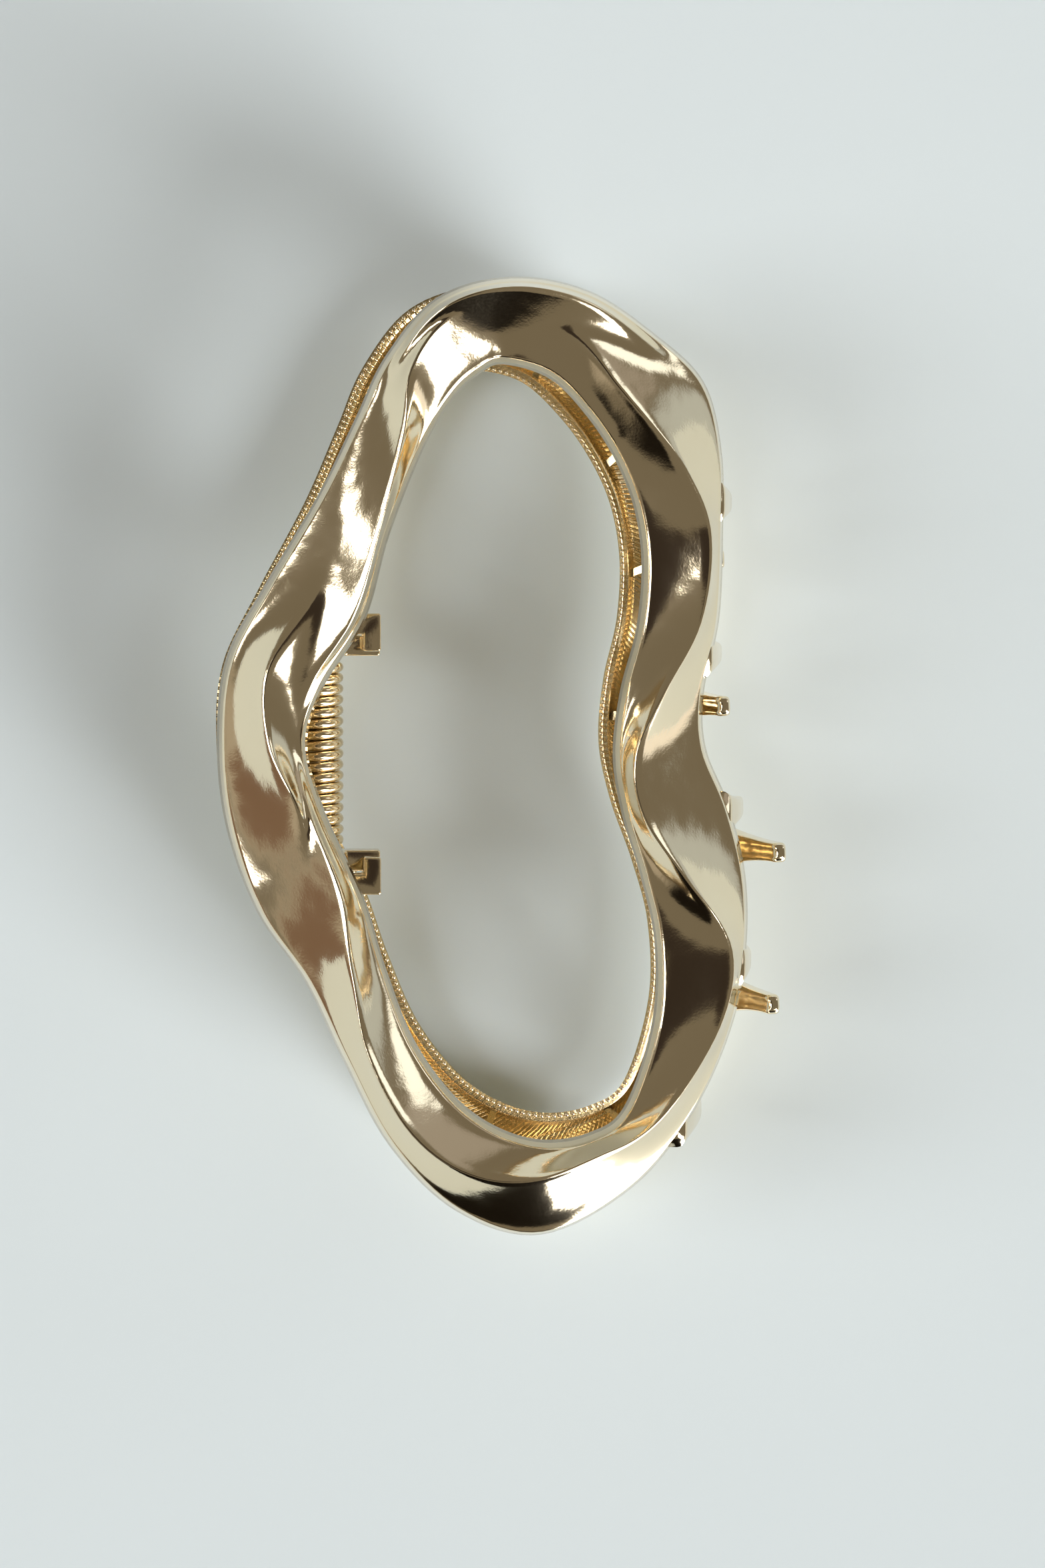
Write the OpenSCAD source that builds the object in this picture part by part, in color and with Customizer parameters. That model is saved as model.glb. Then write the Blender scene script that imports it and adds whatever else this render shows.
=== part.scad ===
// Claw clip: two arched ring jaws on one sprung hinge, lying closed on its back jaw.
// +X points from the handle side to the tooth side, +Y runs along the hinge pin, +Z is up.
// Each jaw is one hollow casting. Its ring, teeth, ribs and lugs are separate solids here.

/* [Jaw ring] */
// Length of a ring along the hinge
ring_length = 90; // [75:0.5:110]
// Width of a ring, from the handle side to the tooth side
ring_width = 50.2; // [40:0.1:62]
// Height of the crest above the open rim
crest_height = 6; // [4.8:0.1:7.5]
// Height of the side walls, where the facets start
side_height = 2.6; // [2:0.1:3.2]
// How far the side walls flare out from the face to the rim
side_draft = 0.6; // [0.2:0.05:0.9]
// Thickness of the cast metal
wall = 0.9; // [0.7:0.05:1.1]
// Gap between the two rims where the jaws stand furthest apart
rim_gap = 23; // [18:0.5:30]
// Radius that each ring is arched to, across its width
arch_radius = 60; // [50:1:90]
// Place of the top of the arch, from the middle of the ring
arch_x = 0.5; // [-6:0.5:4]
// How far the back ring is swung round in plan, against the front ring
back_swing = 2.4; // [0:0.1:3]

/* [Teeth] */
// Width of a tooth at its root
tooth_root_width = 4.2; // [3:0.1:4.6]
// Thickness of a tooth at its root
tooth_root_thick = 2.4; // [1.8:0.1:3]
// Width of a tooth at its tip
tooth_tip_width = 1.9; // [1.2:0.1:2.4]
// Thickness of a tooth at its tip
tooth_tip_thick = 1.3; // [0.9:0.1:1.6]
// How far a tooth reaches past the middle plane
tooth_reach = 8; // [5:0.5:10]
// How far a tip stands out from the side of its ring
tooth_lean = 4.2; // [3:0.1:5.5]

/* [Hinge] */
// Diameter of the hinge pin
pin_d = 2.4; // [2:0.1:2.8]
// Radial clearance of the pin in its bores
pin_clearance = 0.05; // [0.02:0.01:0.09]
// Distance of the pin axis from the inner edge of the handle limb
pin_offset = 1.5; // [1:0.1:2.5]
// Diameter of the formed pin heads
pin_head_d = 4.2; // [3.4:0.1:5]
// Thickness of the formed pin heads
pin_head_t = 0.8; // [0.5:0.1:1.2]
// Thickness of a lug
lug_t = 2; // [1.6:0.1:2.6]
// Radius of a lug around the pin
lug_r = 2.9; // [2.4:0.1:3.4]
// Length of the stop arm of a lug, from the pin axis
arm_length = 6.2; // [5.5:0.1:8]
// Height of the stop arm
arm_height = 3.2; // [2.4:0.1:4]
// Width of the stop foot along the arm
foot_width = 1.7; // [1.2:0.1:2.2]
// Side gap between neighbours along the pin
side_gap = 0.1; // [0.05:0.01:0.2]
// Gap left between the closed stops
stop_gap = 0.02; // [0.01:0.01:0.05]

/* [Spring] */
// Diameter of the spring wire
wire_d = 0.95; // [0.7:0.05:1.1]
// Mean radius of the coil
coil_r = 2.23; // [2:0.01:2.6]
// Number of turns between the two legs
coil_turns = 16; // [8:1:20]
// Clear gap between neighbouring turns
turn_gap = 0.02; // [0.01:0.01:0.1]
// Distance of the leg tips from the pin axis, towards the handle side
leg_reach = 5; // [3.5:0.1:6]

/* [Resting pose] */
// How far the clip rocks over towards its teeth when it lies down
lie_tilt = 0.1; // [0:0.1:8]

/* [Hidden] */
$fn = 48;
gold = "khaki";
inner_gold = "goldenrod";

// The ring is described by stations, clockwise from its far end. Each row holds the inner edge
// x, y and outer edge x, y of the face in mm, then the inward crest and the outward
// crest: their place across the band (0 inner edge, 1 outer edge) and their share of the crest
// height. A crest whose share is under the side walls' own doesn't show there.
STATIONS = [
    [1.9, 37.4, 2.6, 44.4, 0.52, 0.40, 0.92, 0.97],
    [6.6, 36.0, 9.7, 43.2, 0.50, 0.72, 0.92, 0.86],
    [10.4, 32.2, 15.9, 39.3, 0.36, 0.92, 0.92, 0.60],
    [13.1, 28.0, 20.6, 34.9, 0.38, 1.00, 0.90, 0.35],
    [14.9, 23.4, 22.3, 28.5, 0.58, 1.00, 0.92, 0.35],
    [15.6, 18.0, 22.4, 21.0, 0.85, 0.92, 0.95, 0.35],
    [15.1, 12.0, 22.0, 12.9, 0.76, 0.97, 0.93, 0.35],
    [13.6, 6.2, 20.5, 6.0, 0.46, 1.00, 0.80, 0.35],
    [12.9, 0.2, 20.7, 0.7, 0.16, 0.92, 0.65, 0.35],
    [13.8, -5.5, 23.0, -4.9, 0.12, 0.90, 0.65, 0.35],
    [15.6, -11.4, 24.6, -11.4, 0.38, 0.98, 0.80, 0.35],
    [16.9, -17.6, 24.7, -18.3, 0.84, 0.92, 0.95, 0.35],
    [16.7, -25.1, 23.4, -25.4, 0.83, 0.92, 0.95, 0.35],
    [14.0, -33.1, 19.8, -33.3, 0.52, 1.00, 0.85, 0.35],
    [10.4, -35.9, 13.9, -40.2, 0.22, 0.95, 0.70, 0.35],
    [5.6, -36.6, 5.5, -44.4, 0.30, 1.00, 0.75, 0.35],
    [0.9, -35.2, -2.2, -42.2, 0.52, 1.00, 0.85, 0.35],
    [-3.2, -32.1, -8.3, -36.2, 0.70, 0.98, 0.92, 0.35],
    [-7.0, -26.7, -12.6, -28.2, 0.68, 0.98, 0.92, 0.35],
    [-9.7, -19.8, -16.1, -21.0, 0.40, 1.00, 0.75, 0.35],
    [-11.8, -13.0, -20.6, -14.5, 0.15, 0.92, 0.50, 0.35],
    [-15.5, -4.8, -23.5, -6.4, 0.09, 0.78, 0.20, 0.92],
    [-17.0, 1.4, -24.3, 1.7, 0.07, 0.45, 0.42, 0.98],
    [-15.4, 6.8, -23.4, 9.2, 0.08, 0.58, 0.60, 0.94],
    [-11.5, 13.2, -19.6, 16.3, 0.07, 0.80, 0.54, 0.72],
    [-9.2, 21.2, -14.8, 24.4, 0.08, 0.90, 0.55, 0.40],
    [-5.9, 29.5, -11.3, 31.6, 0.30, 0.97, 0.70, 0.35],
    [-3.1, 34.1, -8.6, 37.2, 0.68, 0.93, 0.90, 0.60],
    [-0.6, 36.4, -4.0, 42.5, 0.76, 0.84, 0.92, 0.98]];
station_width = 49;
station_length = 88.8;
rings_per_station = 4;
facet_points = 3;
floor_points = 7;
facet_dip = 1.25;
crest_round = 0.5;
valley_round = 0.8;

// Teeth of each jaw: place along the ring, share of the lean and share of the reach. The two
// jaws' teeth pass between each other. RIBS are the stations of the cross ribs.
FRONT_TEETH = [[24, 0.42, 1], [9.5, 0.5, 1], [-5.4, 0.54, 0.8], [-19.8, 0.33, 0.75],
               [-34.8, 0.66, 1]];
BACK_TEETH = [[17.6, 0.29, 0.45], [3.7, 0.68, 1], [-10.4, 0.84, 1], [-24.8, 0.76, 1]];
RIBS = [1.2, 3.3, 5.3, 7.6, 9.8, 11.9, 13.8, 16, 18.2, 26.4, 28.2];
rib_t = 0.8;
rib_drop = 1.2;
tooth_rings = 8;
tooth_root_in = 0.8;
tooth_root_up = 1.6;
coil_segments = 12;
leg_steps = 18;
head_round = 0.4;

// ---- Shape of the ring -------------------------------------------------------------------
n_stations = len(STATIONS);
scale_x = (ring_width - 2 * side_draft) / station_width;
scale_y = (ring_length - 2 * side_draft) / station_length;

function wrap(i, n) = (i % n + n) % n;

// A smooth closed curve through the rows, one row per whole number
function along(rows, u) =
    let (n = len(rows), i = floor(u), t = u - i)
    let (a = rows[wrap(i - 1, n)], b = rows[wrap(i, n)])
    let (c = rows[wrap(i + 1, n)], d = rows[wrap(i + 2, n)])
    0.5 * (2 * b + (c - a) * t + (2 * a - 5 * b + 4 * c - d) * t * t
           + (3 * b - a - 3 * c + d) * t * t * t);

function inner_edge(s) = [s[0] * scale_x, s[1] * scale_y];
function outer_edge(s) = [s[2] * scale_x, s[3] * scale_y];
function band_width(s) = norm(outer_edge(s) - inner_edge(s));
function rim_z(x) = rim_gap / 2 - pow(x - arch_x, 2) / (2 * arch_radius);

function soft_min(a, b, k) =
    let (h = max(k - abs(a - b), 0) / k)
    min(a, b) - h * h * k / 4;
function soft_max(a, b, k) = -soft_min(-a, -b, k);
function keep(x, low, high) = max(low, min(high, x));

// Height over the rim of one crest's two facets, at a share q of the way across
function facets(q, crest, share) =
    let (f = keep(crest, 0.06, 0.96), rise = share * crest_height - side_height)
    let (up = side_height + rise * pow(q / f, facet_dip))
    let (down = side_height + rise * pow((1 - q) / (1 - f), facet_dip))
    soft_min(up, down, crest_round);

function top_height(s, a) =
    let (q = keep(a, 0, 1))
    soft_max(facets(q, s[4], s[5]), facets(q, s[6], s[7]), valley_round);

// Places across the top, with one on each crest
function top_shares(s) =
    let (stops = [0, keep(s[4], 0.06, 0.9), keep(s[6], 0.1, 0.96), 1])
    concat(
        [for (k = [0:2], j = [0:facet_points - 1])
            stops[k] + (stops[k + 1] - stops[k]) * j / facet_points],
        [1]);

// A point of the front jaw at share a across the band and height h over the rim
function band_point(s, a, h) =
    let (p = inner_edge(s) * (1 - a) + outer_edge(s) * a)
    [p.x, p.y, rim_z(p.x) + h];

function section(s) =
    let (flare = side_draft / band_width(s), in = wall / band_width(s))
    concat(
        [band_point(s, -flare, 0)],
        [for (q = top_shares(s)) band_point(s, q, top_height(s, q))],
        [band_point(s, 1 + flare, 0), band_point(s, 1 + flare - in, 0)],
        [for (i = [0:floor_points - 1])
            let (a = 1 - in - (1 - 2 * in) * i / (floor_points - 1))
            band_point(s, a, top_height(s, a) - wall)],
        [band_point(s, in - flare, 0)]);

ring_sections = [for (i = [0:n_stations * rings_per_station - 1])
    section(along(STATIONS, i / rings_per_station))];

// ---- Sweeping a row of sections ----------------------------------------------------------
function skin_faces(n, m, closed) = concat(
    [for (i = [0:closed ? n - 1 : n - 2], j = [0:m - 1], half = [0, 1])
        let (k = (i + 1) % n, l = (j + 1) % m)
        half == 0 ? [i * m + j, k * m + l, k * m + j] : [i * m + j, i * m + l, k * m + l]],
    closed ? [] : [[for (j = [0:m - 1]) m - 1 - j], [for (j = [0:m - 1]) (n - 1) * m + j]]);

module skin(sections, closed = false) {
    polyhedron(
        points = [for (ring = sections, p = ring) p],
        faces = skin_faces(len(sections), len(sections[0]), closed));
}

// ---- Places that other pieces take from the ring -----------------------------------------
// The station between low and high where the band's chosen edge passes y, by halving
function edge_y(u, a) = let (s = along(STATIONS, u)) band_point(s, a, 0).y;
function find(y, a, low, high, tries = 20) =
    let (mid = (low + high) / 2)
    tries == 0 ? mid
    : (edge_y(mid, a) > y) == (edge_y(low, a) > y) ? find(y, a, mid, high, tries - 1)
    : find(y, a, low, mid, tries - 1);

handle_from = 17;
handle_to = 26;
tooth_from = 1;
tooth_to = 15;
function handle_station(y) = along(STATIONS, find(y, 0.5, handle_from, handle_to));
function tooth_station(y) = along(STATIONS, find(y, 1, tooth_from, tooth_to));
// Share across the handle limb at x, and the height of the underside of its top there
function share_at(s, x) = (x - inner_edge(s).x) / (outer_edge(s).x - inner_edge(s).x);
function under_z(s, x) = rim_z(x) + top_height(s, keep(share_at(s, x), 0, 1)) - wall;
// Turns a place in plan, as the back ring is swung
function swung(p, angle) =
    [p.x * cos(angle) - p.y * sin(angle), p.x * sin(angle) + p.y * cos(angle), p.z];
// Height of the underside of the handle limb at a place in plan
function ceiling_z(x, y, swing) =
    let (p = swung([x, y, 0], -swing))
    under_z(handle_station(p.y), p.x);

hinge_x = inner_edge(along(STATIONS, 22)).x + pin_offset;
turn_pitch = wire_d + turn_gap;
coil_half = coil_turns * turn_pitch / 2;
leg_y = coil_half + turn_pitch;
back_lug_in = leg_y + wire_d / 2 + side_gap;
front_lug_in = back_lug_in + lug_t + side_gap;
lugs_out = front_lug_in + lug_t;
web_half = lug_r * 0.85;

// ---- Teeth -------------------------------------------------------------------------------
function curve3(a, b, c, t) = a * pow(1 - t, 2) + 2 * b * t * (1 - t) + c * t * t;

// One tooth of the front jaw: it leaves the outer side wall and leans out as it crosses over
function tooth_sections(row) =
    let (y = row[0] * scale_y, e = outer_edge(tooth_station(y)), z = rim_z(e.x))
    let (root = [e.x - tooth_root_in, z + tooth_root_up])
    let (tip = [e.x + tooth_lean * row[1], -tooth_reach * row[2]])
    let (bow = (root + tip) / 2 + [0.9, 0.2])
    [for (i = [0:tooth_rings])
        let (t = i / tooth_rings, p = curve3(root, bow, tip, t))
        let (way = curve3(root, bow, tip, t + 0.01) - curve3(root, bow, tip, t - 0.01))
        let (side = [-way.y, way.x] / norm(way))
        let (w = tooth_tip_width + (tooth_root_width - tooth_tip_width) * pow(1 - t, 2.5))
        let (d = tooth_root_thick * (1 - t) + tooth_tip_thick * t)
        [for (c = [[-1, 0.55], [-0.6, 1], [0.6, 1], [1, 0.55], [1, -0.55], [0.6, -1],
                   [-0.6, -1], [-1, -0.55]])
            [p.x + side.x * c.y * d / 2, y + c.x * w / 2, p.y + side.y * c.y * d / 2]]];

// ---- Resting place -----------------------------------------------------------------------
function tilted(p) = [p.x * cos(lie_tilt) + p.z * sin(lie_tilt), p.y,
                      -p.x * sin(lie_tilt) + p.z * cos(lie_tilt)];
function under(p) = [p.x, p.y, -p.z];
outline = concat(
    [for (ring = ring_sections, p = ring) each
        [tilted(p), tilted(under(swung(p, back_swing)))]],
    [for (row = FRONT_TEETH, ring = tooth_sections(row), p = ring) tilted(p)],
    [for (row = BACK_TEETH, ring = tooth_sections(row), p = ring)
        tilted(under(swung(p, back_swing)))]);
low = [for (i = [0:2]) min([for (p = outline) p[i]])];
high = [for (i = [0:2]) max([for (p = outline) p[i]])];

module lying() {
    translate([-(low.x + high.x) / 2, -(low.y + high.y) / 2, -low.z])
        rotate([0, lie_tilt, 0])
            children();
}

module as_back() {
    mirror([0, 0, 1]) children();
}

module swing_round() {
    rotate([0, 0, back_swing]) children();
}

// ---- Castings ----------------------------------------------------------------------------
module ring() {
    color(gold) skin(ring_sections, closed = true);
}

// A cross rib fills the hollow from its floor down to rib_drop over the rim
function rib_outline(s) =
    let (in = 0.7 * wall / band_width(s))
    concat(
        [for (i = [0:floor_points - 1])
            let (a = in + (1 - 2 * in) * i / (floor_points - 1))
            band_point(s, a, top_height(s, a) - 0.6 * wall)],
        [band_point(s, 1 - in, rib_drop), band_point(s, in, rib_drop)]);

module ribs() {
    color(inner_gold)
        for (u = RIBS) {
            s = along(STATIONS, u);
            step = rib_t / 2 / norm(band_point(along(STATIONS, u + 0.5), 0.5, 0)
                                    - band_point(along(STATIONS, u - 0.5), 0.5, 0));
            skin([rib_outline(along(STATIONS, u - step)), rib_outline(along(STATIONS, u + step))]);
        }
}

module teeth(places) {
    color(gold)
        for (row = places)
            skin(tooth_sections(row));
}

// The web's top edge lies inside the metal over the hollow
function web_outline(y, swing) = concat(
    [[hinge_x - web_half, 0]],
    [for (i = [0:6])
        let (x = hinge_x - web_half + 2 * web_half * i / 6)
        [x, ceiling_z(x, y, swing) + wall / 2]],
    [[hinge_x + web_half, 0]]);

module along_y(from, to) {
    translate([0, to, 0]) rotate([90, 0, 0]) linear_extrude(to - from) children();
}

// A lug between y = from and to: web, eye, stop arm, and a foot that points to the middle
module lug(from, to, foot_to, side, swing) {
    middle = side * (from + to) / 2;
    difference() {
        union() {
            mirror([0, side < 0 ? 1 : 0, 0]) {
                along_y(from, to) {
                    polygon(web_outline(middle, swing));
                    translate([hinge_x, 0]) circle(lug_r);
                    translate([hinge_x, stop_gap / 2])
                        square([arm_length, arm_height - stop_gap / 2]);
                }
                if (foot_to < from)
                    along_y(foot_to, (from + to) / 2)
                        translate([hinge_x + arm_length - foot_width, stop_gap / 2])
                            square([foot_width, arm_height - stop_gap / 2]);
            }
        }
        translate([hinge_x, 0, 0])
            rotate([90, 0, 0])
                cylinder(h = 4 * lugs_out, r = pin_d / 2 + pin_clearance, center = true);
    }
}

module lugs(from, to, foot_to, swing) {
    color(gold)
        for (side = [-1, 1])
            lug(from, to, foot_to, side, swing);
}

// ---- Spring and pin ----------------------------------------------------------------------
module spring_coil() {
    steps = coil_turns * coil_segments;
    color(inner_gold) lying() translate([hinge_x, 0, 0])
        skin([for (i = [0:steps])
            let (turn = 360 * i / coil_segments, y = coil_half * (2 * i / steps - 1))
            [for (j = [0:5])
                let (r = coil_r + wire_d / 2 * cos(60 * j))
                [r * cos(turn), y - wire_d / 2 * sin(60 * j), r * sin(turn)]]]);
}

// The wire's outline at a point beside the pin, square to a way given by its angle
function wire_section(p, angle) =
    [for (j = [0:7])
        let (r = wire_d / 2 * cos(45 * j))
        [p.x + r * cos(angle), -wire_d / 2 * sin(45 * j), p.y + r * sin(angle)]];

// A leg winds once more round the pin, then runs straight to the inside of the handle limb
module spring_leg(y, swing) {
    end = [-leg_reach, ceiling_z(hinge_x - leg_reach, y, swing) - 0.4 * wire_d];
    angle = atan2(end.y, end.x) + acos(coil_r / norm(end));
    translate([hinge_x, y, 0])
        skin(concat(
            [wire_section(end, angle)],
            [for (i = [0:leg_steps])
                let (turn = angle + 270 * i / leg_steps)
                wire_section(coil_r * [cos(turn), sin(turn)], turn)]));
}

module hinge_pin() {
    color(gold) lying() translate([hinge_x, 0, 0]) rotate([90, 0, 0]) {
        cylinder(h = 2 * (lugs_out + side_gap), d = pin_d, center = true);
        for (flip = [0, 1])
            mirror([0, 0, flip]) translate([0, 0, lugs_out + side_gap]) {
                cylinder(h = pin_head_t - head_round, d = pin_head_d);
                translate([0, 0, pin_head_t - head_round])
                    cylinder(h = head_round, d1 = pin_head_d, d2 = pin_head_d - 2 * head_round);
            }
    }
}

// ---- Nodes -------------------------------------------------------------------------------
module front_jaw() { lying() ring(); }
module front_ribs() { lying() ribs(); }
module front_teeth() { lying() teeth(FRONT_TEETH); }
module front_hinge_lugs() { lying() lugs(front_lug_in, lugs_out, front_lug_in - 1.6, 0); }
module front_spring_leg() { color(inner_gold) lying() spring_leg(leg_y, 0); }
module back_jaw() { lying() as_back() swing_round() ring(); }
module back_ribs() { lying() as_back() swing_round() ribs(); }
module back_teeth() { lying() as_back() swing_round() teeth(BACK_TEETH); }
module back_hinge_lugs() {
    lying() as_back() lugs(back_lug_in, back_lug_in + lug_t, back_lug_in, back_swing);
}
module back_spring_leg() {
    color(inner_gold) lying() as_back() spring_leg(-leg_y, back_swing);
}

front_jaw();
front_ribs();
front_teeth();
front_hinge_lugs();
front_spring_leg();
back_jaw();
back_ribs();
back_teeth();
back_hinge_lugs();
back_spring_leg();
spring_coil();
hinge_pin();
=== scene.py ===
import bpy
import bmesh
from math import acos, atan2, cos, pi, radians, sin, sqrt
from mathutils import Matrix, Vector


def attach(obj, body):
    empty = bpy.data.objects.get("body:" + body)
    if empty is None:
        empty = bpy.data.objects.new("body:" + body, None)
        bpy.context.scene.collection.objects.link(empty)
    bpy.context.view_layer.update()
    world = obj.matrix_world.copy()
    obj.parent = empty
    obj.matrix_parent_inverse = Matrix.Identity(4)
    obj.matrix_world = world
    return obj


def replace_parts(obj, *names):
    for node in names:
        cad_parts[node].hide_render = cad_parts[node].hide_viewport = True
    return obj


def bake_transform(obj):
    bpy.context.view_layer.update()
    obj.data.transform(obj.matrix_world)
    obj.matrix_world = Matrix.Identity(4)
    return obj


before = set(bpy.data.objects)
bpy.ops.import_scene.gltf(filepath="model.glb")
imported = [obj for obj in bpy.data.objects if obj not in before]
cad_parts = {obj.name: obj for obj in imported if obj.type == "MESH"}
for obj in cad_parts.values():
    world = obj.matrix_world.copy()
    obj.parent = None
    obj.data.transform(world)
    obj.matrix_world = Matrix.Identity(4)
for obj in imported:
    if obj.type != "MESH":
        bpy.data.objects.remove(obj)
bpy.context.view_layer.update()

# Front jaw ring: one hollow zinc casting, polished and plated in champagne gold. Its twisted
# face has a winding crest between two slightly hollowed facets, and its back is open.
# The teeth, lugs and ribs are cast with it, and it turns on the hinge pin.
crest_height = 6.0
side_height = 2.6
side_draft = 0.6
wall = 0.9
rim_half_gap = 11.5
arch_radius = 60.0
arch_x = 0.5
lie_tilt = radians(0.1)
lie_offset = Vector((-2.0327, -0.0588, 17.3935))

# Inner edge x, y and outer edge x, y in mm, clockwise from the far end, then the place across
# the band and the share of the crest height for the inward crest and the outward crest
ring_stations = (
    (1.9, 37.4, 2.6, 44.4, 0.52, 0.40, 0.92, 0.97),
    (6.6, 36.0, 9.7, 43.2, 0.50, 0.72, 0.92, 0.86),
    (10.4, 32.2, 15.9, 39.3, 0.36, 0.92, 0.92, 0.60),
    (13.1, 28.0, 20.6, 34.9, 0.38, 1.00, 0.90, 0.35),
    (14.9, 23.4, 22.3, 28.5, 0.58, 1.00, 0.92, 0.35),
    (15.6, 18.0, 22.4, 21.0, 0.85, 0.92, 0.95, 0.35),
    (15.1, 12.0, 22.0, 12.9, 0.76, 0.97, 0.93, 0.35),
    (13.6, 6.2, 20.5, 6.0, 0.46, 1.00, 0.80, 0.35),
    (12.9, 0.2, 20.7, 0.7, 0.16, 0.92, 0.65, 0.35),
    (13.8, -5.5, 23.0, -4.9, 0.12, 0.90, 0.65, 0.35),
    (15.6, -11.4, 24.6, -11.4, 0.38, 0.98, 0.80, 0.35),
    (16.9, -17.6, 24.7, -18.3, 0.84, 0.92, 0.95, 0.35),
    (16.7, -25.1, 23.4, -25.4, 0.83, 0.92, 0.95, 0.35),
    (14.0, -33.1, 19.8, -33.3, 0.52, 1.00, 0.85, 0.35),
    (10.4, -35.9, 13.9, -40.2, 0.22, 0.95, 0.70, 0.35),
    (5.6, -36.6, 5.5, -44.4, 0.30, 1.00, 0.75, 0.35),
    (0.9, -35.2, -2.2, -42.2, 0.52, 1.00, 0.85, 0.35),
    (-3.2, -32.1, -8.3, -36.2, 0.70, 0.98, 0.92, 0.35),
    (-7.0, -26.7, -12.6, -28.2, 0.68, 0.98, 0.92, 0.35),
    (-9.7, -19.8, -16.1, -21.0, 0.40, 1.00, 0.75, 0.35),
    (-11.8, -13.0, -20.6, -14.5, 0.15, 0.92, 0.50, 0.35),
    (-15.5, -4.8, -23.5, -6.4, 0.09, 0.78, 0.20, 0.92),
    (-17.0, 1.4, -24.3, 1.7, 0.07, 0.45, 0.42, 0.98),
    (-15.4, 6.8, -23.4, 9.2, 0.08, 0.58, 0.60, 0.94),
    (-11.5, 13.2, -19.6, 16.3, 0.07, 0.80, 0.54, 0.72),
    (-9.2, 21.2, -14.8, 24.4, 0.08, 0.90, 0.55, 0.40),
    (-5.9, 29.5, -11.3, 31.6, 0.30, 0.97, 0.70, 0.35),
    (-3.1, 34.1, -8.6, 37.2, 0.68, 0.93, 0.90, 0.60),
    (-0.6, 36.4, -4.0, 42.5, 0.76, 0.84, 0.92, 0.98))
rings_per_station = 8
facet_points = 7
ceiling_points = 18
facet_dip = 1.25
crest_round = 0.5
valley_round = 0.8


def station(u):
    i = int(u // 1)
    t = u - i
    n = len(ring_stations)
    a, b, c, d = (ring_stations[(i + k) % n] for k in (-1, 0, 1, 2))
    return [0.5 * (2 * q + (r - p) * t + (2 * p - 5 * q + 4 * r - s) * t * t
                   + (3 * q - p - 3 * r + s) * t ** 3) for p, q, r, s in zip(a, b, c, d)]


def soft_min(a, b, k):
    h = max(k - abs(a - b), 0) / k
    return min(a, b) - h * h * k / 4


def keep(x, low, high):
    return max(low, min(high, x))


def band_width(s):
    return sqrt((s[2] - s[0]) ** 2 + (s[3] - s[1]) ** 2)


def facets(q, crest, share):
    f = keep(crest, 0.06, 0.96)
    rise = share * crest_height - side_height
    up = side_height + rise * (q / f) ** facet_dip
    down = side_height + rise * ((1 - q) / (1 - f)) ** facet_dip
    return soft_min(up, down, crest_round)


def top_height(s, a):
    q = keep(a, 0, 1)
    return -soft_min(-facets(q, s[4], s[5]), -facets(q, s[6], s[7]), valley_round)


def rim_z(x):
    return rim_half_gap - (x - arch_x) ** 2 / (2 * arch_radius)


def band_point(s, a, h):
    x = s[0] + (s[2] - s[0]) * a
    y = s[1] + (s[3] - s[1]) * a
    return Vector((x, y, rim_z(x) + h))


def lay_down(p):
    return (Matrix.Rotation(lie_tilt, 3, "Y") @ p + lie_offset) / 1000




def outer_skin(s):
    flare = side_draft / band_width(s)
    stops = (0, keep(s[4], 0.06, 0.9), keep(s[6], 0.1, 0.96), 1)
    shares = [stops[k] + (stops[k + 1] - stops[k]) * (0.5 - 0.5 * cos(pi * j / facet_points))
              for k in range(3) for j in range(facet_points)] + [1]
    up = [band_point(s, -flare * (1 - t), top_height(s, 0) * t) for t in (0, 0.4, 0.8)]
    top = [band_point(s, q, top_height(s, q)) for q in shares]
    down = [band_point(s, 1 + flare * (1 - t), top_height(s, 1) * t) for t in (0.8, 0.4, 0)]
    return up + top + down


def hollow_skin(s):
    thick = wall / band_width(s)
    flare = side_draft / band_width(s)
    points = []
    for i in range(ceiling_points):
        a = 1 - thick - (1 - 2 * thick) * i / (ceiling_points - 1)
        points.append(band_point(s, a, top_height(s, a) - wall))
    down = top_height(s, 1 - thick) - wall
    up = top_height(s, thick) - wall
    before = [band_point(s, 1 - thick + flare * (1 - t), down * t) for t in (0, 0.3, 0.65)]
    after = [band_point(s, thick - flare * (1 - t), up * t) for t in (0.65, 0.3, 0)]
    return before + points + after


# Draws out a loop of points ring by ring. An endless row of rings is closed on itself.
def draw_out(bm, rings, endless):
    ring = bmesh.ops.create_circle(bm, segments=len(rings[0]), radius=1)["verts"]
    for v, p in zip(ring, rings[0]):
        v.co = p
    first = list(ring)
    made = [first]
    count = len(ring)
    for points in rings[1:]:
        edges = [bm.edges.get((ring[i], ring[(i + 1) % count])) for i in range(count)]
        geom = bmesh.ops.extrude_edge_only(bm, edges=edges)["geom"]
        new = {v for v in geom if isinstance(v, bmesh.types.BMVert)}
        ring = [next(e.other_vert(v) for e in v.link_edges if e.other_vert(v) in new)
                for v in ring]
        for v, p in zip(ring, points):
            v.co = p
        made.append(ring)
    if endless:
        edges = [bm.edges.get((r[i], r[(i + 1) % count])) for r in (ring, first)
                 for i in range(count)]
        bmesh.ops.bridge_loops(bm, edges=edges)
    else:
        for r in (first, ring):
            bmesh.ops.contextual_create(bm, geom=r)
    return made


def finish_piece(name, bm, material, smooth=True):
    bmesh.ops.recalc_face_normals(bm, faces=bm.faces)
    for f in bm.faces:
        f.smooth = smooth
    mesh = bpy.data.meshes.new(name)
    bm.to_mesh(mesh)
    bm.free()
    piece = bpy.data.objects.new(name, mesh)
    bpy.context.scene.collection.objects.link(piece)
    mesh.materials.append(material)
    return piece


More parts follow.
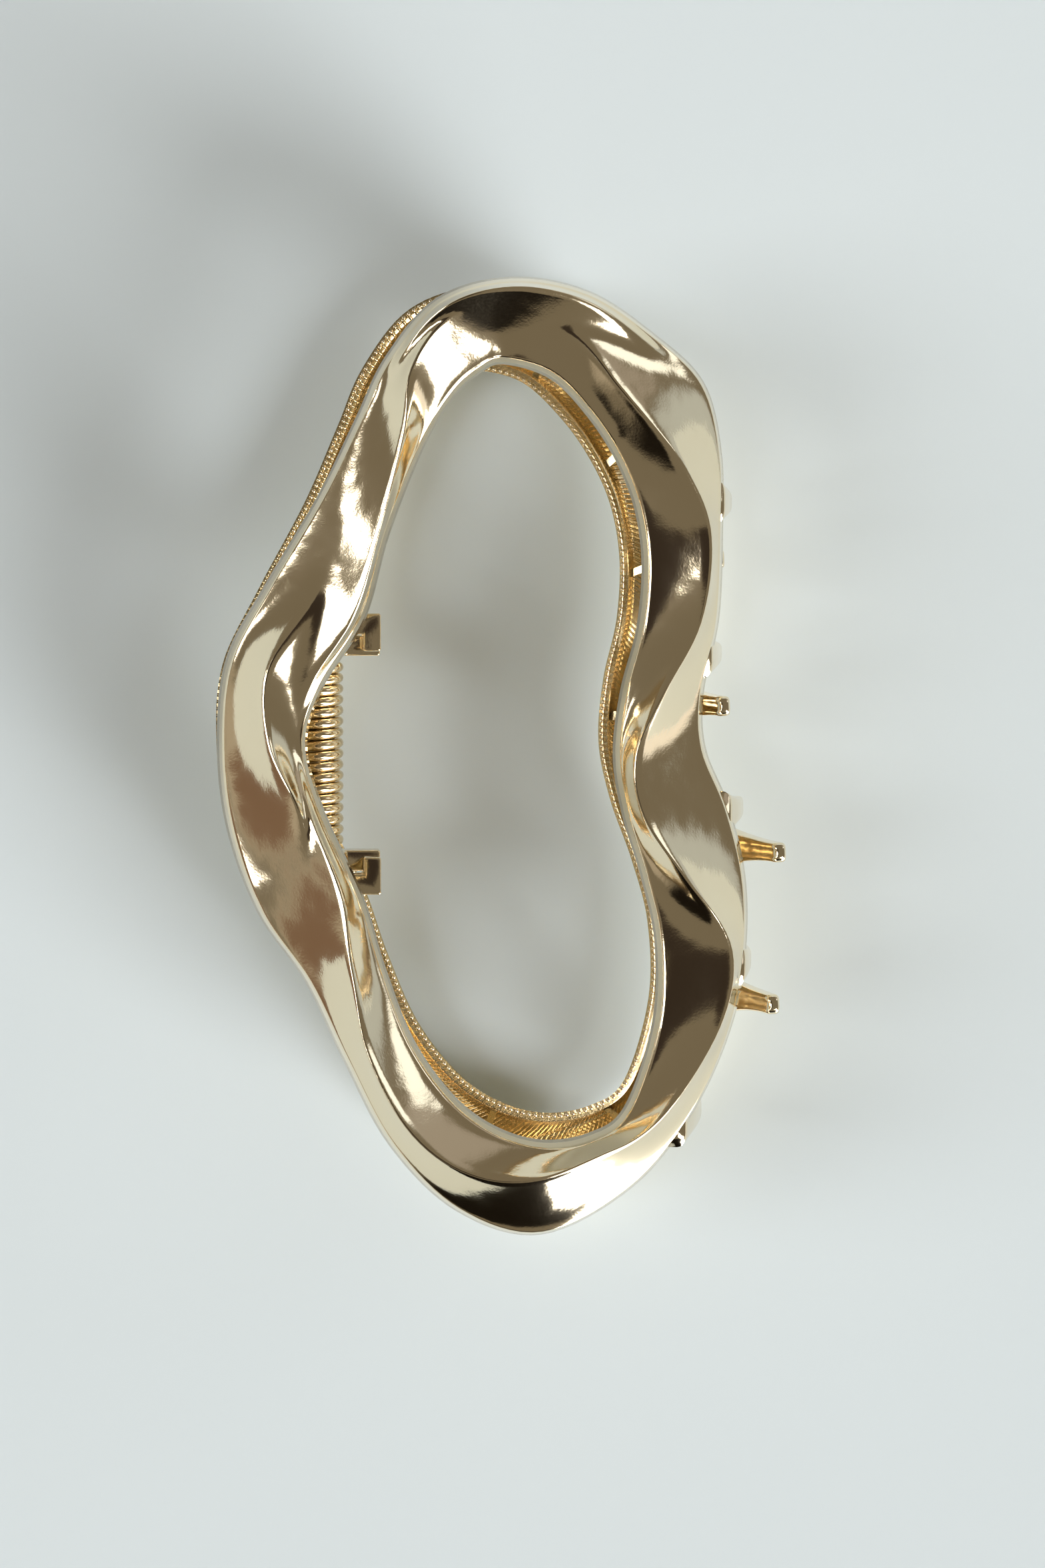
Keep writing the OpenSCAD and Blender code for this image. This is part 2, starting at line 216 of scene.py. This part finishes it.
# Champagne gold plate over polished zinc: a very fine grain from polishing breaks up the edges
# of what it mirrors, with soft larger ripples left by the casting.
def champagne_gold(name, colour, roughness, grain):
    material = bpy.data.materials.new(name)
    material.use_nodes = True
    nodes = material.node_tree.nodes
    links = material.node_tree.links
    shader = nodes["Principled BSDF"]
    shader.inputs["Metallic"].default_value = 1.0
    place = nodes.new("ShaderNodeTexCoord")
    fine = nodes.new("ShaderNodeTexNoise")
    fine.inputs["Scale"].default_value = 4200.0
    fine.inputs["Detail"].default_value = 3.0
    ripple = nodes.new("ShaderNodeTexNoise")
    ripple.inputs["Scale"].default_value = 190.0
    ripple.inputs["Detail"].default_value = 2.0
    links.new(place.outputs["Object"], fine.inputs["Vector"])
    links.new(place.outputs["Object"], ripple.inputs["Vector"])
    ripple_bump = nodes.new("ShaderNodeBump")
    ripple_bump.name = "ripple bump"
    ripple_bump.inputs["Strength"].default_value = 0.45
    ripple_bump.inputs["Distance"].default_value = 0.0003
    grain_bump = nodes.new("ShaderNodeBump")
    grain_bump.inputs["Strength"].default_value = grain
    grain_bump.inputs["Distance"].default_value = 0.00001
    links.new(ripple.outputs["Fac"], ripple_bump.inputs["Height"])
    links.new(fine.outputs["Fac"], grain_bump.inputs["Height"])
    links.new(ripple_bump.outputs["Normal"], grain_bump.inputs["Normal"])
    links.new(grain_bump.outputs["Normal"], shader.inputs["Normal"])
    tone = nodes.new("ShaderNodeMix")
    tone.data_type = "RGBA"
    tone.inputs["A"].default_value = (colour[0] * 0.97, colour[1] * 0.95, colour[2] * 0.92, 1)
    tone.inputs["B"].default_value = (*colour, 1)
    links.new(ripple.outputs["Fac"], tone.inputs["Factor"])
    links.new(tone.outputs["Result"], shader.inputs["Base Color"])
    spread = nodes.new("ShaderNodeMapRange")
    spread.inputs["To Min"].default_value = roughness * 0.75
    spread.inputs["To Max"].default_value = roughness * 1.3
    links.new(fine.outputs["Fac"], spread.inputs["Value"])
    links.new(spread.outputs["Result"], shader.inputs["Roughness"])
    return material


# The hollow is cut with slanting grooves that meet at a seam under the crest. The pattern runs
# on the ring's own map: millimetres along the ring, and 0 to 1 across the hollow.
def add_herringbone(material, pitch, slant, depth):
    nodes = material.node_tree.nodes
    links = material.node_tree.links
    ring_map = nodes.new("ShaderNodeUVMap")
    ring_map.uv_map = "along the ring"
    parts = nodes.new("ShaderNodeSeparateXYZ")
    links.new(ring_map.outputs["UV"], parts.inputs["Vector"])

    def step(operation, first, second):
        node = nodes.new("ShaderNodeMath")
        node.operation = operation
        for socket, value in zip(node.inputs, (first, second)):
            if isinstance(value, bpy.types.NodeSocket):
                links.new(value, socket)
            elif value is not None:
                socket.default_value = value
        return node.outputs["Value"]

    off_seam = step("ABSOLUTE", step("SUBTRACT", parts.outputs["Y"], 0.5), None)
    run = step("ADD", parts.outputs["X"], step("MULTIPLY", off_seam, slant))
    groove = step("SINE", step("MULTIPLY", run, 2 * pi / pitch), None)
    seam = step("LESS_THAN", off_seam, 0.04)
    cut = nodes.new("ShaderNodeBump")
    cut.inputs["Strength"].default_value = 1.0
    cut.inputs["Distance"].default_value = depth
    links.new(step("MAXIMUM", groove, step("MULTIPLY", seam, 2.0)), cut.inputs["Height"])
    links.new(cut.outputs["Normal"], nodes["ripple bump"].inputs["Normal"])


plate = champagne_gold("champagne gold plate", (0.93, 0.81, 0.59), 0.10, 0.5)
# The hollow's plate is partly real and partly painted: its rougher grooved finish is real, but its
# deeper, more saturated gold is painted shade standing in for light bouncing inside the hollow.
hollow_plate_painted_shade = champagne_gold("gold plate in the hollow with painted bounce shade", (0.93, 0.76, 0.45), 0.16, 0.6)
groove_pitch = 0.56
groove_slant = 6.0
groove_depth = 0.00012
add_herringbone(hollow_plate_painted_shade, groove_pitch, groove_slant, groove_depth)
steps = len(ring_stations) * rings_per_station
sections = [station(i / rings_per_station) for i in range(steps)]
outer_count = len(outer_skin(sections[0]))
middles = [band_point(s, 0.5, 0) for s in sections]
run_to = [0.0]
for i in range(steps):
    run_to.append(run_to[-1] + (middles[(i + 1) % steps] - middles[i]).length)
whole_pitches = round(run_to[-1] / groove_pitch) * groove_pitch


def make_ring(name, side):
    bm = bmesh.new()
    made = draw_out(bm, [[lay_down(side(p)) for p in outer_skin(s) + hollow_skin(s)]
                         for s in sections], True)
    count = len(made[0])
    spot = {}
    for i, ring in enumerate(made):
        for j, v in enumerate(ring):
            across = keep((j - outer_count - 2) / (ceiling_points + 1), 0, 1)
            spot[v] = (i, across, j >= outer_count - 1 or j == 0)
    ring_map = bm.loops.layers.uv.new("along the ring")
    for f in bm.faces:
        wraps = {spot[v][0] for v in f.verts} == {0, steps - 1}
        for loop in f.loops:
            i, across, _ = spot[loop.vert]
            at = run_to[steps] if wraps and i == 0 else run_to[i]
            loop[ring_map].uv = (at * whole_pitches / run_to[-1], across)
        # Faces of the open hollow take the second plate, whose deeper gold is painted bounce shade.
        f.material_index = int(all(spot[v][2] for v in f.verts))
    ring = finish_piece(name, bm, plate)
    ring.data.materials.append(hollow_plate_painted_shade)
    return ring


front_ring = make_ring("front_ring", lambda p: p)
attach(front_ring, "front")
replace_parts(front_ring, "front_jaw")

# Back jaw ring: the mirror twin of the front jaw, from its own half of the mould. It lies on
# its crest, so its open hollow faces up, and it is swung round a little on the hinge.
back_swing = radians(2.4)


def other_side(p):
    return Matrix.Rotation(back_swing, 3, "Z") @ Vector((p.x, p.y, -p.z))


back_ring = make_ring("back_ring", other_side)
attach(back_ring, "back")
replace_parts(back_ring, "back_jaw")

# Rim beads: a row of tiny round beads along both edges of each jaw's open rim. They are cast in
# one with the ring and plated with it.
bead_pitch = 0.62
bead_radius = 0.26


def make_beads(name, side, body):
    bm = bmesh.new()
    for edge in (0, 1):
        rim = []
        for s in sections:
            flare = side_draft / band_width(s)
            in_wall = 0.35 * wall / band_width(s)
            rim.append(band_point(s, 1 + flare - in_wall if edge else in_wall - flare, 0.1))
        gone = 0.0
        for i in range(steps):
            a, b = rim[i], rim[(i + 1) % steps]
            length = (b - a).length
            while gone < length:
                spot = lay_down(side(a + (b - a) * (gone / length)))
                bmesh.ops.create_icosphere(bm, subdivisions=1, radius=bead_radius / 1000,
                                           matrix=Matrix.Translation(spot))
                gone += bead_pitch
            gone -= length
    beads = finish_piece(name, bm, plate)
    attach(beads, body)


make_beads("front_rim_beads", lambda p: p, "front")
make_beads("back_rim_beads", other_side, "back")

# Teeth: tapered prongs cast onto the outer wall of each ring. They lean out as they pass
# between the other jaw's teeth, with a shallow channel down the inner face and a blunt tip.
tooth_root = (4.2, 2.4)
tooth_tip = (1.9, 1.3)
tooth_reach = 8.0
tooth_lean = 4.2
tooth_root_in = 0.8
tooth_root_up = 1.6
channel_depth = 0.22
front_teeth = ((24, 0.42, 1), (9.5, 0.5, 1), (-5.4, 0.54, 0.8), (-19.8, 0.33, 0.75),
               (-34.8, 0.66, 1))
back_teeth = ((17.6, 0.29, 0.45), (3.7, 0.68, 1), (-10.4, 0.84, 1), (-24.8, 0.76, 1))


def outer_edge_at(y):
    low, high = 1.0, 15.0
    for _ in range(24):
        mid = (low + high) / 2
        if station(mid)[3] > y:
            low = mid
        else:
            high = mid
    return station(low)[2]


def prong_outline(width, thick, channel):
    outline = []
    for i in range(24):
        turn = 2 * pi * (i + 0.5) / 24
        across = abs(cos(turn)) ** 0.5 * (1 if cos(turn) > 0 else -1)
        through = abs(sin(turn)) ** 0.5 * (1 if sin(turn) > 0 else -1)
        dent = channel * max(0, 1 - (across / 0.62) ** 2) if through < 0 else 0
        outline.append((across * width / 2, through * thick / 2 + dent))
    return outline


def prong_rings(y, lean, reach):
    edge = outer_edge_at(y)
    root = Vector((edge - tooth_root_in, 0, rim_z(edge) + tooth_root_up))
    tip = Vector((edge + tooth_lean * lean, 0, -tooth_reach * reach))
    bow = (root + tip) / 2 + Vector((0.9, 0, 0.2))
    rings = []
    ends = [(t / 14, 1.0) for t in range(14)]
    ends += [(0.955, 1.0), (0.975, 0.95), (0.99, 0.82), (0.998, 0.6), (1.0, 0.3)]
    for t, size in ends:
        p = root * (1 - t) ** 2 + bow * 2 * t * (1 - t) + tip * t * t
        way = ((bow - root) * (1 - t) + (tip - bow) * t).normalized()
        out = Vector((-way.z, 0, way.x))
        width = (tooth_tip[0] + (tooth_root[0] - tooth_tip[0]) * (1 - t) ** 2.5) * size
        thick = (tooth_root[1] * (1 - t) + tooth_tip[1] * t) * size
        rings.append([p + out * b + Vector((0, y + a, 0))
                      for a, b in prong_outline(width, thick, channel_depth * size)])
    return rings


def make_teeth(name, rows, side, body):
    bm = bmesh.new()
    for row in rows:
        draw_out(bm, [[lay_down(side(p)) for p in ring] for ring in prong_rings(*row)], False)
    teeth = finish_piece(name, bm, plate)
    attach(teeth, body)
    return teeth


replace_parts(make_teeth("front_prongs", front_teeth, lambda p: p, "front"), "front_teeth")
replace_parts(make_teeth("back_prongs", back_teeth, other_side, "back"), "back_teeth")

# Cross ribs: eleven thin bars across the hollow of each ring, cast in one with it to stiffen it.
# They carry the same plate as the hollow round them, with its deeper gold of painted bounce shade.
for node in ("front_ribs", "back_ribs"):
    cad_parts[node].data.materials.clear()
    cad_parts[node].data.materials.append(hollow_plate_painted_shade)

# Hinge lugs: two flat ears on each jaw, cast in one with it. The back jaw's ears sit inside
# the front jaw's, and the front ears' feet close on them as the stop. Their edges are worn round.
for body in ("front", "back"):
    bm = bmesh.new()
    bm.from_mesh(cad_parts[body + "_hinge_lugs"].data)
    bmesh.ops.remove_doubles(bm, verts=bm.verts, dist=0.000002)
    flat = [e for e in bm.edges if len(e.link_faces) == 2 and e.calc_face_angle(0) < 0.02]
    bmesh.ops.dissolve_limit(bm, angle_limit=0.02, verts=bm.verts, edges=flat)
    lugs = finish_piece(body + "_lugs", bm, plate, smooth=True)
    worn = lugs.modifiers.new("worn edges", "BEVEL")
    worn.width = 0.00022
    worn.segments = 3
    worn.limit_method = "ANGLE"
    worn.angle_limit = radians(35)
    worn.harden_normals = True
    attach(lugs, body)
    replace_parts(lugs, body + "_hinge_lugs")

# Torsion spring: one length of gold plated wire, close wound round the hinge pin. Each end runs
# straight out to the inside of a handle limb and pushes it away from the other.
wire_radius = 0.475
coil_radius = 2.23
coil_end_y = 8.73
hinge_x = -15.5
leg_reach = 5.0
spring_turns = 18
steps_per_turn = 22


def wire_leg_end(y, swing):
    x = hinge_x - leg_reach
    spot = Matrix.Rotation(-swing, 3, "Z") @ Vector((x, y, 0))
    low, high = 17.0, 26.0
    for _ in range(24):
        mid = (low + high) / 2
        if (station(mid)[1] + station(mid)[3]) / 2 < spot.y:
            low = mid
        else:
            high = mid
    s = station(low)
    under = rim_z(spot.x) + top_height(s, (spot.x - s[0]) / (s[2] - s[0])) - wall
    return Vector((-leg_reach, 0, under - wire_radius))


def wire_leg_turn(end):
    return atan2(end.z, end.x) + acos(coil_radius / end.length)


front_end = wire_leg_end(coil_end_y, 0)
back_end = wire_leg_end(-coil_end_y, back_swing)
front_turn = wire_leg_turn(front_end)
back_turn = wire_leg_turn(back_end)
all_turns = spring_turns * 2 * pi - front_turn - back_turn
path = []
for t in (0, 0.3, 0.6, 0.85):
    near_coil = Vector((cos(front_turn), 0, sin(front_turn))) * coil_radius
    path.append(front_end.lerp(near_coil, t) + Vector((0, coil_end_y, 0)))
coil_steps = spring_turns * steps_per_turn
for i in range(coil_steps + 1):
    turn = front_turn + all_turns * i / coil_steps
    path.append(Vector((coil_radius * cos(turn), coil_end_y * (1 - 2 * i / coil_steps),
                        coil_radius * sin(turn))))
for t in (0.85, 0.6, 0.3, 0):
    near_coil = Vector((cos(back_turn), 0, sin(back_turn))) * coil_radius
    p = back_end.lerp(near_coil, t)
    path.append(Vector((p.x, -coil_end_y, -p.z)))
bm = bmesh.new()
wire_rings = []
for i, p in enumerate(path):
    way = (path[min(i + 1, len(path) - 1)] - path[max(i - 1, 0)]).normalized()
    out = Vector((0, 1, 0)).cross(way).normalized()
    up = way.cross(out)
    wire_rings.append([lay_down(p + Vector((hinge_x, 0, 0))
                                + (out * cos(pi * j / 6) + up * sin(pi * j / 6)) * wire_radius)
                       for j in range(12)])
draw_out(bm, wire_rings, False)
wire = champagne_gold("gold spring wire", (0.90, 0.74, 0.48), 0.17, 0.8)
spring = finish_piece("torsion_spring", bm, wire)
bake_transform(spring)
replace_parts(spring, "spring_coil", "front_spring_leg", "back_spring_leg")

# Hinge pin: a plated steel pin through the coil and all four lugs. Its ends are formed into
# low domed heads.
pin_radius = 1.2
pin_half = 13.505
head_radius = 2.1
pin_profile = [(0, 0.35), (0.03, 1.1), (0.14, 1.7), (0.36, 2.02), (0.6, head_radius),
               (0.8, 2.05), (0.8, pin_radius)]
pin_rows = [(-pin_half - 0.8 + d, r) for d, r in pin_profile]
pin_rows += [(-y, r) for y, r in reversed(pin_rows)]
bm = bmesh.new()
draw_out(bm, [[lay_down(Vector((hinge_x + r * cos(pi * j / 20), y, r * sin(pi * j / 20))))
               for j in range(40)] for y, r in pin_rows], False)
pin_plate = champagne_gold("gold plated pin", (0.90, 0.76, 0.52), 0.2, 0.8)
pin = finish_piece("headed_pin", bm, pin_plate)
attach(pin, "back")
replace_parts(pin, "hinge_pin")

# Table: a pale grey-blue card top that the clip lies on.
card = bpy.data.materials.new("pale card")
card.use_nodes = True
card_nodes = card.node_tree.nodes
card_shader = card_nodes["Principled BSDF"]
card_shader.inputs["Roughness"].default_value = 0.75
card_shader.inputs["Specular IOR Level"].default_value = 0.25
card_place = card_nodes.new("ShaderNodeTexCoord")
card_fibre = card_nodes.new("ShaderNodeTexNoise")
card_fibre.inputs["Scale"].default_value = 14.0
card_tone = card_nodes.new("ShaderNodeMix")
card_tone.data_type = "RGBA"
card_tone.inputs["A"].default_value = (0.775, 0.855, 0.885, 1)
card_tone.inputs["B"].default_value = (0.79, 0.87, 0.90, 1)
card.node_tree.links.new(card_place.outputs["Object"], card_fibre.inputs["Vector"])
card.node_tree.links.new(card_fibre.outputs["Fac"], card_tone.inputs["Factor"])
card.node_tree.links.new(card_tone.outputs["Result"], card_shader.inputs["Base Color"])
bm = bmesh.new()
bmesh.ops.create_grid(bm, x_segments=2, y_segments=2, size=1.5)
floor = finish_piece("table", bm, card)

# Studio: a plain room with a warm grey ceiling, a bright window low at the near right, tall
# bright strips to the left and the near right, pale walls, and a dark corner at the near side.
world = bpy.data.worlds.new("studio room")
bpy.context.scene.world = world
world.use_nodes = True
room = world.node_tree
room_light = room.nodes["Background"]
looking = room.nodes.new("ShaderNodeTexCoord").outputs["Generated"]


def room_step(kind, operation, *values):
    node = room.nodes.new(kind)
    node.operation = operation
    for socket, value in zip(node.inputs, values):
        if isinstance(value, bpy.types.NodeSocket):
            room.links.new(value, socket)
        else:
            socket.default_value = value
    return node.outputs["Value"]


# Lays one soft-edged panel over the room so far. It is placed by its turn round from +X and its
# angle from straight up, and sized by its half width and half height, all in degrees.
def panel(under, turn, from_up, half_width, half_height, softness, colour):
    a, z = radians(turn), radians(from_up)
    ahead = Vector((sin(z) * cos(a), sin(z) * sin(a), cos(z)))
    side = Vector((-sin(a), cos(a), 0))
    up = ahead.cross(side)
    facing = room_step("ShaderNodeVectorMath", "DOT_PRODUCT", looking, ahead)
    in_front = room_step("ShaderNodeMath", "MAXIMUM", facing, 0.01)
    reach = []
    for axis, half in ((side, half_width), (up, half_height)):
        along = room_step("ShaderNodeVectorMath", "DOT_PRODUCT", looking, axis)
        share = room_step("ShaderNodeMath", "DIVIDE", along, in_front)
        share = room_step("ShaderNodeMath", "DIVIDE", share, sin(radians(half)) / cos(radians(half)))
        reach.append(room_step("ShaderNodeMath", "POWER", share, 4.0))
    out = room_step("ShaderNodeMath", "ADD", *reach)
    fade = room.nodes.new("ShaderNodeMapRange")
    fade.interpolation_type = "SMOOTHSTEP"
    fade.inputs["From Min"].default_value = 1 + softness
    fade.inputs["From Max"].default_value = max(1 - softness, 0)
    room.links.new(out, fade.inputs["Value"])
    mix = room.nodes.new("ShaderNodeMix")
    mix.data_type = "RGBA"
    room.links.new(fade.outputs["Result"], mix.inputs["Factor"])
    room.links.new(under, mix.inputs["A"])
    mix.inputs["B"].default_value = (*colour, 1)
    return mix.outputs["Result"]


ceiling = room.nodes.new("ShaderNodeRGB")
ceiling.outputs[0].default_value = (0.18, 0.155, 0.115, 1)
view = ceiling.outputs[0]
# Walls
view = panel(view, 50, 72, 16, 12, 0.9, (0.36, 0.33, 0.30))
view = panel(view, 15, 90, 16, 14, 0.9, (0.50, 0.54, 0.56))
view = panel(view, -16, 94, 11, 15, 0.7, (1.0, 0.96, 0.92))
view = panel(view, 28, 60, 10, 9, 0.7, (1.3, 1.35, 1.4))
view = panel(view, 197, 84, 22, 20, 0.9, (0.42, 0.37, 0.30))
view = panel(view, 196, 80, 10, 13, 0.7, (0.20, 0.13, 0.09))
# Dark corner and dark patch overhead
view = panel(view, 268, 74, 42, 22, 0.4, (0.008, 0.006, 0.004))
view = panel(view, 185, 8, 16, 16, 0.8, (0.035, 0.026, 0.020))
# Windows and bright strips
view = panel(view, 182, 43, 10, 16, 0.3, (6.0, 6.0, 6.0))
view = panel(view, 168, 68, 4, 4, 0.5, (4.0, 4.0, 4.0))
view = panel(view, -40, 58, 10, 21, 0.4, (8.0, 8.0, 8.0))
view = panel(view, -46, 90, 21, 16, 0.3, (22.0, 22.0, 22.0))
room.links.new(view, room_light.inputs["Color"])
room_light.inputs["Strength"].default_value = 1.0

# Camera: a long lens looking almost straight down.
aim = Vector((1.64, -2.46, 30.78)) / 1000
away = Vector((-0.0495, 0.044, 1)).normalized()
across = Vector((0, 1, 0)).cross(away).normalized()
turned = Matrix((across, away.cross(across), away)).transposed()
eye = bpy.data.cameras.new("camera")
eye.sensor_fit = "VERTICAL"
eye.sensor_height = 36
eye.lens = 133.8
camera = bpy.data.objects.new("camera", eye)
camera.location = aim + away * 0.545
camera.rotation_euler = turned.to_euler()
bpy.context.scene.collection.objects.link(camera)
bpy.context.scene.camera = camera
bpy.context.scene.view_settings.view_transform = "Standard"
